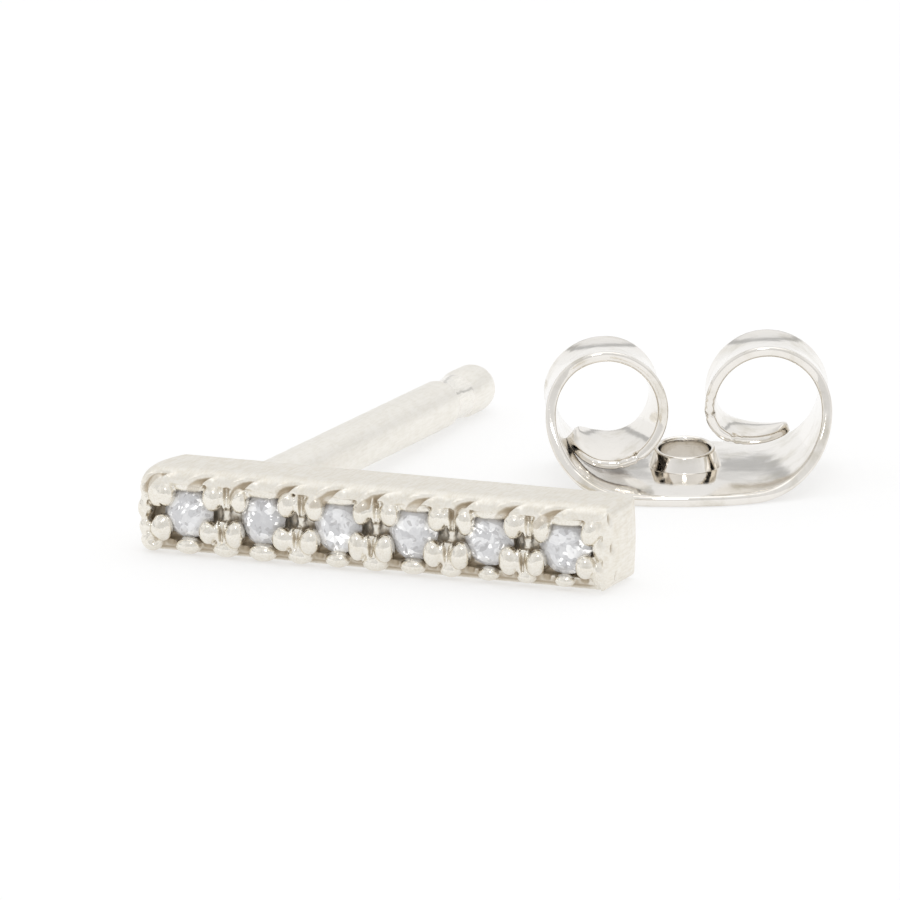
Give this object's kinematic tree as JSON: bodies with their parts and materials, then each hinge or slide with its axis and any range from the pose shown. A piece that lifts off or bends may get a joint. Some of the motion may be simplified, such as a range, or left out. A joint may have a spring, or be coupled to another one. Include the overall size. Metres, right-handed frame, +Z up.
{
  "type": "bar stud earring",
  "caption": "Bar stud earring with a row of small round stones, a straight post and a separate scroll-shaped friction nut.",
  "frame": {"origin": "middle of the base of the box round the stud and its nut as they lie on a level surface", "axes": "+Z up, +X along the bar with the post near the bar's -X end, +Y from the stone face to the post's tip"},
  "size_m": [0.01, 0.0124, 0.0026],
  "materials": {
    "satin_metal": "satin white gold with polished beads",
    "polished_metal": "polished white gold",
    "stone": "cut grey stone with pale flecks"
  },
  "bodies": {
    "root": {"bar_and_post": "satin_metal", "stone_1": "stone", "stone_2": "stone", "stone_3": "stone", "stone_4": "stone", "stone_5": "stone", "stone_6": "stone", "ear_nut": "polished_metal"}
  },
  "joints": []
}
